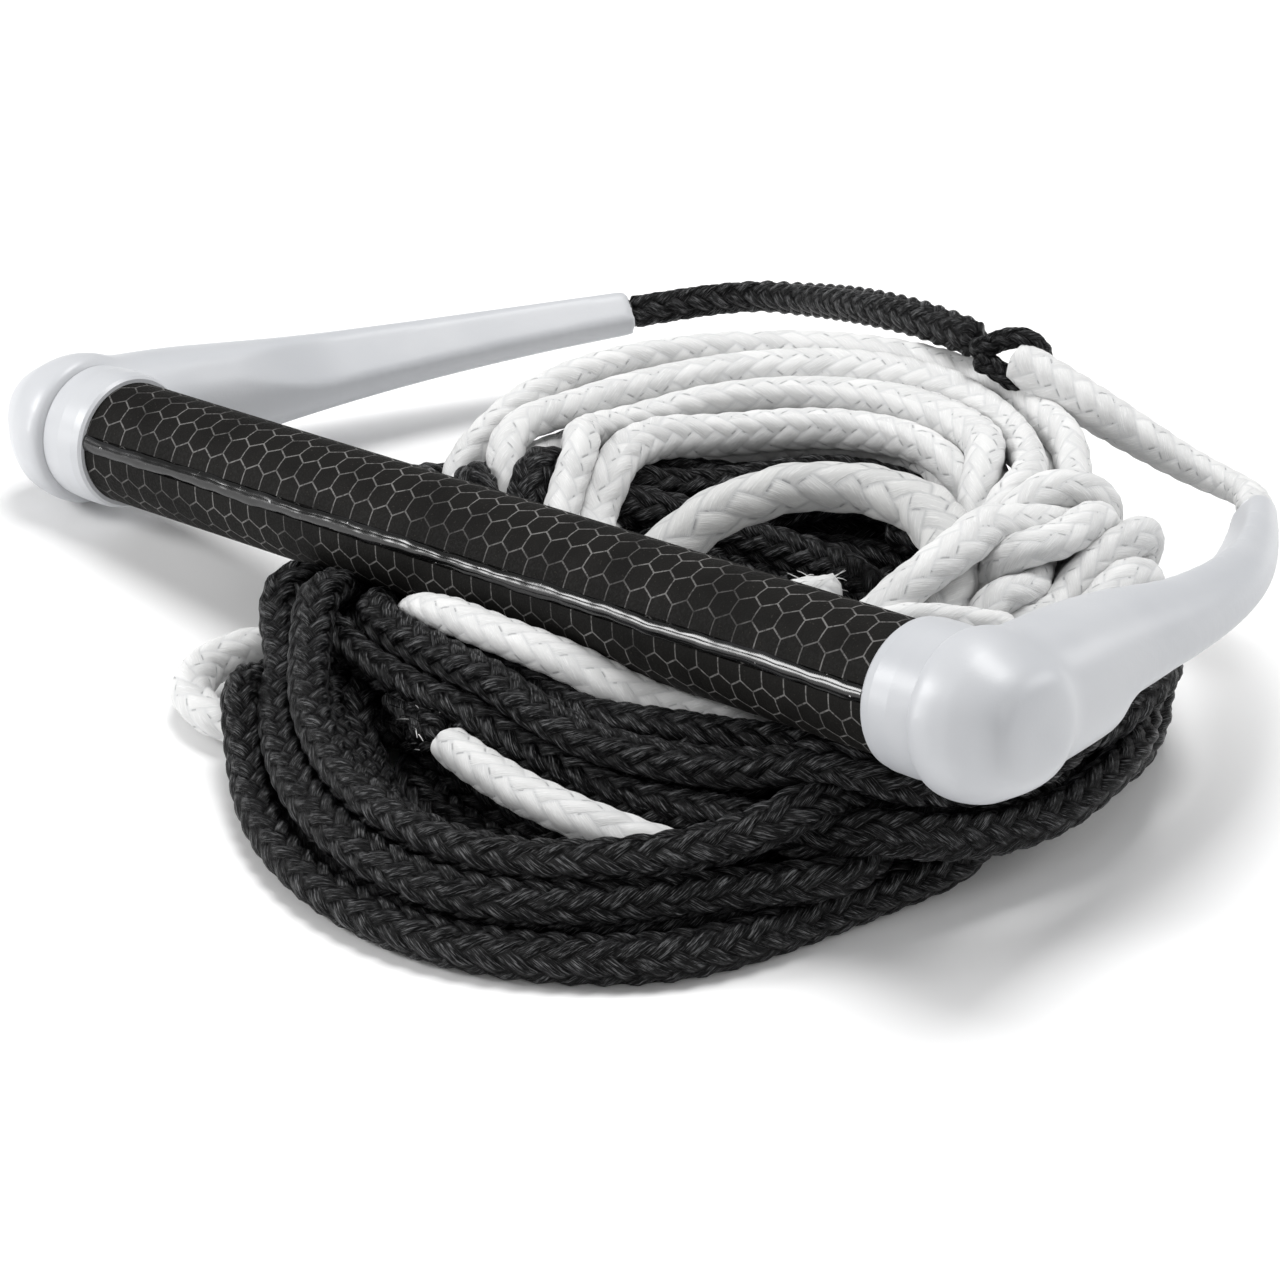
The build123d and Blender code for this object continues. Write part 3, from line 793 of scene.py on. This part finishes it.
# -------- moulded caps and arms
VOXEL = 0.85
RING_POINTS = 72
ARM_RINGS, ARM_ROUNDS = 60, 40
ROUNDNESS = 0.88  # exponent of an arm's outline, where 1 is an ellipse
INNER_SLANT = np.array((-0.70, 0.714))
RIDGE_CUT, SCOOP_DEPTH = 0.30, 0.46
SOFTEN_ROUNDS, ROOT_ROUNDS = 6, 30
# The cap's outline, as (distance from the bar's middle, radius)
CAP_OUTLINE = [
    (143.0, 16.9), (143.8, 17.7), (146.0, 18.4), (150.0, 18.2), (154.0, 17.0),
    (157.5, 15.1), (160.4, 13.6), (162.9, 11.9), (164.4, 9.6), (164.9, 6.0),
]


def ring_about(middle, first, second, offsets):
    """Points in the plane of two directions, at these offsets from the middle."""
    return [middle + first * a + second * b for a, b in offsets]


def add_loft(verts, faces, rings):
    """Adds a closed loft through rings that have the same number of points."""
    base, around = len(verts), len(rings[0])
    for ring in rings:
        verts.extend(ring)
    for index in range(len(rings) - 1):
        low = base + index * around
        for step in range(around):
            after = (step + 1) % around
            faces.append((low + step, low + after, low + around + after, low + around + step))
    faces.append(tuple(base + step for step in reversed(range(around))))
    faces.append(tuple(base + (len(rings) - 1) * around + step for step in range(around)))


def smoothstep(value, low, high):
    part = np.clip((value - low) / (high - low), 0.0, 1.0)
    return part * part * (3 - 2 * part)


def arm_section(half_width, half_height, outward, ridge, scoop):
    """An arm's outline: an oval, cut flat on its inner upper side, scooped below outside."""
    turn = np.arange(RING_POINTS) / RING_POINTS * 2 * math.pi
    a = np.sign(np.cos(turn)) * np.abs(np.cos(turn)) ** ROUNDNESS * half_width
    b = np.sign(np.sin(turn)) * np.abs(np.sin(turn)) ** ROUNDNESS * half_height
    flat = INNER_SLANT
    limit = math.hypot(half_width * flat[0], half_height * flat[1]) * (1 - RIDGE_CUT * ridge)
    past = np.maximum(a * flat[0] + b * flat[1] - limit, 0)
    a, b = a - past * flat[0], b - past * flat[1]
    below = np.degrees(turn)
    depth = scoop * smoothstep(below, 349.0, 334.0) * smoothstep(below, 262.0, 296.0)
    shrink = 1 - depth
    return [(outward * x * k, y * k) for x, y, k in zip(a, b, shrink)]


def arm_rings(arm, outward):
    """Rings along an arm, every few millimetres, in the handle's frame."""
    stations = np.array(arm)
    at = distances(stations[:, :3])
    fine = np.linspace(0, at[-1], ARM_RINGS)
    smooth = np.stack([np.interp(fine, at, stations[:, k]) for k in range(5)], axis=1)
    for _ in range(ARM_ROUNDS):
        smooth[1:-1] += 0.5 * ((smooth[:-2] + smooth[2:]) / 2 - smooth[1:-1])
    ahead = np.gradient(smooth[:, :3], axis=0)
    rings = []
    for row, way, gone in zip(smooth, ahead, fine / at[-1]):
        way = Vector(way).normalized()
        across = way.cross(Vector((0, 0, 1))).normalized()
        up = across.cross(way)
        ridge = float(smoothstep(gone, 0.24, 0.45))
        scoop = SCOOP_DEPTH * float(smoothstep(gone, 0.19, 0.27)) * (1 - gone) ** 1.2
        section = arm_section(row[3], row[4], outward, ridge, scoop)
        rings.append(ring_about(Vector(row[:3]), across, up, section))
    return rings


def cap_body_rings(side):
    """The cap's round body, which closes in a soft blunt end."""
    rings = []
    for x, radius in CAP_OUTLINE:
        square = 2.0 + 0.5 * float(smoothstep(x, 150.0, 160.0))
        offsets = []
        for step in range(RING_POINTS):
            turn = step / RING_POINTS * 2 * math.pi
            c, s = math.cos(turn), math.sin(turn)
            reach = radius / (abs(c) ** square + abs(s) ** square) ** (1 / square)
            offsets.append((reach * c, reach * s))
        rings.append(ring_about(Vector((side * x, 0, 0)), Vector((0, 1, 0)), Vector((0, 0, 1)),
                                offsets))
    return rings


def relaxed(points, edges, weight, rounds):
    """Points drawn towards their neighbours, each by its own weight, again and again."""
    count = len(points)
    degree = np.bincount(edges.ravel(), minlength=count)
    for _ in range(rounds):
        total = np.stack([
            np.bincount(edges[:, 0], points[edges[:, 1], axis], count)
            + np.bincount(edges[:, 1], points[edges[:, 0], axis], count)
            for axis in range(3)], axis=1)
        points = points + weight[:, None] * (total / degree[:, None] - points)
    return points


def end_cap(name, side, arm):
    """One moulding: body and arm, merged and softened, in the handle's frame."""
    verts, faces = [], []
    add_loft(verts, faces, cap_body_rings(side))
    add_loft(verts, faces, arm_rings(arm, side))
    piece = new_piece(name, verts, faces)
    remesh = piece.modifiers.new("merge", "REMESH")
    remesh.mode = "VOXEL"
    remesh.voxel_size = VOXEL
    merged = bpy.data.meshes.new_from_object(
        piece.evaluated_get(bpy.context.evaluated_depsgraph_get()))
    piece.modifiers.clear()
    points = np.array([tuple(v.co) for v in merged.vertices])
    edges = np.array([tuple(e.vertices) for e in merged.edges])
    back = points[:, 1]
    near_root = (1 - smoothstep(back, 14.0, 30.0)) * smoothstep(back, -6.0, 8.0)
    points = relaxed(points, edges, np.full(len(points), 0.5), SOFTEN_ROUNDS)
    points = relaxed(points, edges, 0.5 * near_root, ROOT_ROUNDS)
    for vertex, point in zip(merged.vertices, points):
        vertex.co = HANDLE @ Vector(point) * MM
    shade_smooth(merged)
    merged.materials.append(cap_plastic)
    piece.data = merged
    stand_in(piece, "cap_plastic", name)
    piece.name = name + "_moulding"


end_cap("left_end_cap", -1, LEFT_ARM)
end_cap("right_end_cap", 1, RIGHT_ARM)


# -------- the grip's seam
BEAD_HEIGHT, BEAD_DEPTH = 0.7, 0.5
EDGE_WAVE, HEIGHT_WAVE = 0.26, 0.04


def seam_bead():
    """A bead of adhesive that was smeared along the seam, with wavy edges."""
    count, across = 520, 12
    x = np.linspace(-GRIP_END, GRIP_END, count)
    rng = np.random.default_rng(7)

    def wave(lengths, size):
        return sum(size / (k + 1) * np.sin(2 * math.pi * x / length + rng.uniform(0, 6.3))
                   for k, length in enumerate(lengths))

    upper = SEAM_WIDTH / 2 + wave((61, 23, 9.5), EDGE_WAVE)
    lower = -SEAM_WIDTH / 2 + wave((47, 19, 8.3), EDGE_WAVE)
    crown = BEAD_HEIGHT + wave((31, 12, 5.3), HEIGHT_WAVE)
    rings = np.empty((count, 2 * across, 3))
    for step in range(2 * across):
        top = step < across
        part = (step + 0.5) / across if top else 2 - (step + 0.5) / across
        lateral = lower + (upper - lower) * part
        bulge = crown * (1 - abs(2 * part - 1) ** 2.2) if top else np.full(count, -BEAD_DEPTH)
        angle = math.radians(SEAM_ANGLE) + lateral / GRIP_RADIUS
        radius = GRIP_RADIUS + bulge
        rings[:, step] = np.stack([x, -radius * np.cos(angle), radius * np.sin(angle)], axis=1)
    matrix = np.array(HANDLE)
    rings = (rings.reshape(-1, 3) @ matrix[:3, :3].T + matrix[:3, 3]).reshape(rings.shape)
    stand_in(grid_mesh("seam_bead", rings, x / 10.0, adhesive), "seam_adhesive",
             "grip_seam_bead")


seam_bead()

# -------- CAD nodes that stay
KEPT_NODES = {"bar_tube": aluminium, "float_core": core_foam, "grip_sleeve": printed_foam}
for hand, inner_rope in (("left_", inner_black), ("right_", inner_white)):
    KEPT_NODES.update({
        hand + "tube_plug": plug_plastic, hand + "collar": cap_plastic,
        hand + "stopper_washer": steel, hand + "stopper_knot": inner_rope,
        hand + "inner_rope": inner_rope})
for node_name, finish_material in KEPT_NODES.items():
    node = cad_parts[node_name]
    if not node.material_slots:
        node.data.materials.append(finish_material)
    for material_slot in node.material_slots:
        material_slot.material = finish_material

# -------- lay the ropes
left_leg_line = nurbs_line("left_leg_route", mouth_and_lead(LEFT_ARM) + LEFT_LEG_ROUTE)
right_leg_line = nurbs_line("right_leg_route", mouth_and_lead(RIGHT_ARM) + RIGHT_LEG_ROUTE)

HALF_TOW = TOW_ROPE / 2
POINT_GAP, HANK_GAP = 5.0, 4.0  # spacing of the points that settle, along a rope
HELD_ROUTES = {
    "left_leg": (left_leg_line, BRIDLE_LEG), "right_leg": (right_leg_line, WHITE_LEG),
    "front_section": (FRONT_SECTION_ROUTE, TOW_ROPE), "boat_loop": (BOAT_LOOP_ROUTE, TOW_ROPE),
    "whipped_end": (WHIPPED_END_ROUTE, TOW_ROPE),
    "spliced_turn": (SPLICED_TURN_ROUTE, SPLICED_ROPE),
}
laid = {key: (resample(line, POINT_GAP)[0], width / 2, True)
        for key, (line, width) in HELD_ROUTES.items()}
laid.update({key: (resample(coil_route(**coil), POINT_GAP)[0], HALF_TOW, False)
             for key, coil in COILS.items()})
laid["bight_hank"] = (resample(hank_route(), HANK_GAP)[0], HALF_TOW - 0.3, False)
settled = dict(zip(laid, settle(list(laid.values()))))

BLACK_SLOT, WHITE_SLOT = "black_tow_rope", "white_tow_rope"
# The eye beside the white leg's blunt end, as steps right, up and nearer to the camera
EYE_MIDDLE = Vector((31.0, 71.2, 54.2))
EYE_STRAND = 5.2
EYE_LOOP = [
    (-8.5, 1.6, 0.0), (-5.0, 2.0, 0.6), (-2.0, 3.5, 1.8), (1.2, 4.3, 3.2), (4.6, 3.9, 3.8),
    (7.4, 2.2, 1.8), (8.6, -1.0, -2.8), (8.2, -4.6, -3.0), (5.6, -6.9, -0.2),
    (2.4, -6.2, 1.8), (-0.8, -4.2, 1.6), (-4.0, -1.6, 0.6), (-7.5, -0.6, 0.0),
]


def bridle_eye():
    """The black leg's braid, parted into two strands that pass round the white leg."""
    right = Vector((0.689, 0.725, 0.0))
    nearer = Vector((0.640, -0.608, 0.469))
    up = nearer.cross(right)
    route = [EYE_MIDDLE + right * r + up * u + nearer * n for r, u, n in EYE_LOOP]
    line = nurbs_line("eye_route", route)
    piece, _ = braided_tube("eye_strands", line, EYE_STRAND, black_braid, 6, relief=BLACK_RELIEF)
    return stand_in(piece, "black_bridle_rope", "bridle_eye")


# A hair's radius at shares of its length
HAIR = ((0.0, 0.13), (0.35, 0.12), (0.7, 0.10), (1.0, 0.05))


def hairs(name, line, radius, count, length, material, seed):
    """Loose filaments that stand off a rope, mostly along it."""
    rng = np.random.default_rng(seed)
    ahead, side, up = carried_frames(line)
    verts, faces = [], []
    for _ in range(count):
        at = rng.integers(1, len(line) - 1)
        turn = rng.uniform(0, 2 * math.pi)
        out = math.cos(turn) * side[at] + math.sin(turn) * up[at]
        root = line[at] + out * radius * 0.93
        way = ahead[at] * rng.choice((-1, 1)) + out * rng.uniform(0.15, 0.9)
        way += rng.normal(0, 0.25, 3)
        way /= np.linalg.norm(way)
        sag = np.array((0, 0, -1.0)) * rng.uniform(0.0, 0.5)
        size = length * rng.uniform(0.5, 1.2)
        cross = np.cross(way, out)
        rings = []
        for part, thick in HAIR:
            middle = root + way * size * part + sag * size * part * part
            rings.append([Vector(middle + thick * (math.cos(k) * out + math.sin(k) * cross))
                          for k in (0.0, 2.1, 4.2)])
        add_loft(verts, faces, rings)
    piece = new_piece(name, [v * MM for v in verts], faces, material)
    uv = piece.data.uv_layers.new(name="braid")
    uv.data.foreach_set("uv", [0.25] * (2 * len(uv.data)))
    return piece


SPLICE_DIAMETER, WHIPPED_DIAMETER = 9.8, 11.0
WHIPPING_TURNS, WHIPPING_GAP = 8, 0.2
WHIPPED_FROM, WHIPPED_TO = 0.33, 0.62  # shares of the rope end's length


def section_splice():
    """Where the black section's strands are tucked into the white one: ragged, with hairs."""
    line = nurbs_line("splice_route", SECTION_SPLICE_ROUTE)
    tuck, line = braided_tube(
        "section_splice_tuck", line, SPLICE_DIAMETER, black_braid, 21, relief=0.13, swell=0.1,
        profile=lambda part: 1.02 - 0.22 * smoothstep(part, 0.7, 1.0))
    dark = hairs("section_splice_hairs", line, SPLICE_DIAMETER / 2, 120, 5.0, black_braid, 31)
    pale = hairs("section_splice_pale_hairs", line[len(line) // 2:], SPLICE_DIAMETER / 2, 9,
                 2.6, white_braid, 32)
    return [stand_in(tuck, BLACK_SLOT, "section_splice"),
            stand_in(dark, BLACK_SLOT, "section_splice"),
            stand_in(pale, WHITE_SLOT, "section_splice")]


def whipped_end():
    """The tow line's own end, kept shut by turns of waxed twine, its tuft left loose."""
    line = nurbs_line("whipped_route", WHIPPED_END_ROUTE)
    rope, line = braided_tube(
        "whipped_rope_end_braid", line, TOW_ROPE, white_braid, 22,
        profile=lambda part: 1 - 0.12 * np.exp(-((part - 0.48) / 0.16) ** 2)
        + 0.1 * smoothstep(part, 0.7, 1.0))
    tuft = hairs("whipped_end_tuft", line[-8:], TOW_ROPE / 2, 60, 4.0, white_braid, 33)
    fine, _ = resample(line, WHIPPING_GAP)
    bound = fine[int(len(fine) * WHIPPED_FROM):int(len(fine) * WHIPPED_TO)]
    _, side, up = carried_frames(bound)
    turn = np.arange(ROUND_STEPS) / ROUND_STEPS * 2 * math.pi
    along = np.linspace(0, WHIPPING_TURNS, len(bound))
    ridge = np.abs(np.sin(math.pi * (along[:, None] + turn[None, :] / (2 * math.pi)))) ** 0.6
    radius = WHIPPED_DIAMETER / 2 * (0.88 + 0.10 * ridge)
    twine = grid_mesh("whipping_turns", tube_rings(bound, side, up, radius, turn), along,
                      waxed_twine)
    return [stand_in(rope, WHITE_SLOT, "whipped_rope_end"),
            stand_in(tuft, WHITE_SLOT, "whipped_rope_end"),
            stand_in(twine, "whipping_twine", "end_whipping")]


def twine_material():
    """Waxed twine: fine fibre flecks, with rougher and smoother patches."""
    n = Nodes("waxed twine")
    place = n.place()
    fibres = n.noise(place, 1300.0, 3.0, 0.6)
    patch = n.noise(place, 300.0, 2.0, 0.5)
    color = n.mix(n.smooth(fibres, 0.45, 0.7), (0.006, 0.006, 0.007), (0.035, 0.035, 0.038))
    return n.finish(color, n.smooth(patch, 0.3, 0.7, 0.3, 0.5), n.bump(fibres, 0.0002, 0.5),
                    Specular_IOR_Level=0.35)


waxed_twine = twine_material()


def rope_from(key, name, material, slot, node, diameter=TOW_ROPE, **declared):
    """A rope along its settled route."""
    line = nurbs_line(key, settled[key])
    relief = BLACK_RELIEF if material == black_braid else WHITE_RELIEF
    piece, line = braided_tube(name, line, diameter, material, seed=len(name), relief=relief)
    declare_rope(piece, line, diameter, slot, node, **declared)


# Beyond this share of its length the white section would only run on beneath the black turns
SHOWN_SECTION = 0.78
section_points = settled["front_section"]
settled["front_section"] = section_points[:int(SHOWN_SECTION * len(section_points))]
for section in ("front", "side", "back"):
    rope_from("black_" + section, "black_" + section + "_turns", black_braid, BLACK_SLOT,
              "black_rope_coil")
rope_from("white_coil", "white_turns", white_braid, WHITE_SLOT, "white_rope_coil")
rope_from("bight_hank", "white_bights", white_braid, WHITE_SLOT, "white_bight_hank",
          TOW_ROPE - 0.6)
# The thick spliced turn takes the darker copy of the white braid, which is painted shade.
rope_from("spliced_turn", "thick_spliced_turn", shaded_white_braid, WHITE_SLOT, "spliced_turn",
          SPLICED_ROPE, lay="loose", with_pieces=whipped_end())
rope_from("front_section", "white_front_section", white_braid, WHITE_SLOT, "front_section",
          lay="loose", with_pieces=section_splice())
rope_from("boat_loop", "boat_loop", white_braid, WHITE_SLOT, "boat_end_loop", lay="loose")
leg, leg_line = braided_tube("black_bridle_leg", left_leg_line, BRIDLE_LEG, black_braid, 2,
                             relief=BLACK_RELIEF)
declare_rope(leg, leg_line, BRIDLE_LEG, "black_bridle_rope", "left_bridle_leg", lay="loose",
             with_pieces=[bridle_eye()])
leg, leg_line = braided_tube("white_bridle_leg", right_leg_line, WHITE_LEG, white_braid, 4,
                             relief=WHITE_RELIEF, flatten=0.12,
                             profile=lambda part: 0.98 + 0.40 * smoothstep(part, 0.1, 0.75))
declare_rope(leg, leg_line, WHITE_LEG, "white_bridle_rope", "right_bridle_leg", lay="loose")


# -------- floor and light
FLOOR_SIZE, FLOOR_DROP = 6.0, 0.0005
WORLD_LIGHT = 0.29
# name, place, width in metres, and watts
LAMPS = [
    ("left_box", (-1.15, -1.15, 0.85), 0.55, 17.0), ("low_box", (-1.3, -1.55, 0.16), 0.4, 8.0),
    ("top_box", (-0.1, 0.35, 1.7), 0.9, 24.0), ("back_box", (0.9, 1.4, 0.9), 0.8, 8.0),
    ("front_box", (1.3, -0.5, 0.6), 0.7, 3.0),
]


def make_floor():
    n = Nodes("floor")
    color = n.mix(n.noise(n.place(), 3.0), (0.93, 0.93, 0.93), (0.97, 0.97, 0.97))
    corners = [(FLOOR_SIZE * x, FLOOR_SIZE * y, 0) for x, y in ((-1, -1), (1, -1), (1, 1), (-1, 1))]
    floor = new_piece("floor", corners, [(0, 1, 2, 3)], n.finish(color, 0.8))
    floor.location.z = -FLOOR_DROP


def make_light():
    world = bpy.data.worlds.new("studio")
    world.use_nodes = True
    background = world.node_tree.nodes["Background"]
    background.inputs[0].default_value = (1.0, 1.0, 1.0, 1.0)
    background.inputs[1].default_value = WORLD_LIGHT
    bpy.context.scene.world = world
    bpy.context.scene.view_settings.view_transform = "Standard"
    for name, place, size, power in LAMPS:
        data = bpy.data.lights.new(name, "AREA")
        data.size = size
        data.energy = power
        lamp = bpy.data.objects.new(name, data)
        lamp.location = place
        lamp.rotation_euler = (-Vector(place)).to_track_quat("-Z", "Y").to_euler()
        bpy.context.collection.objects.link(lamp)


make_floor()
make_light()
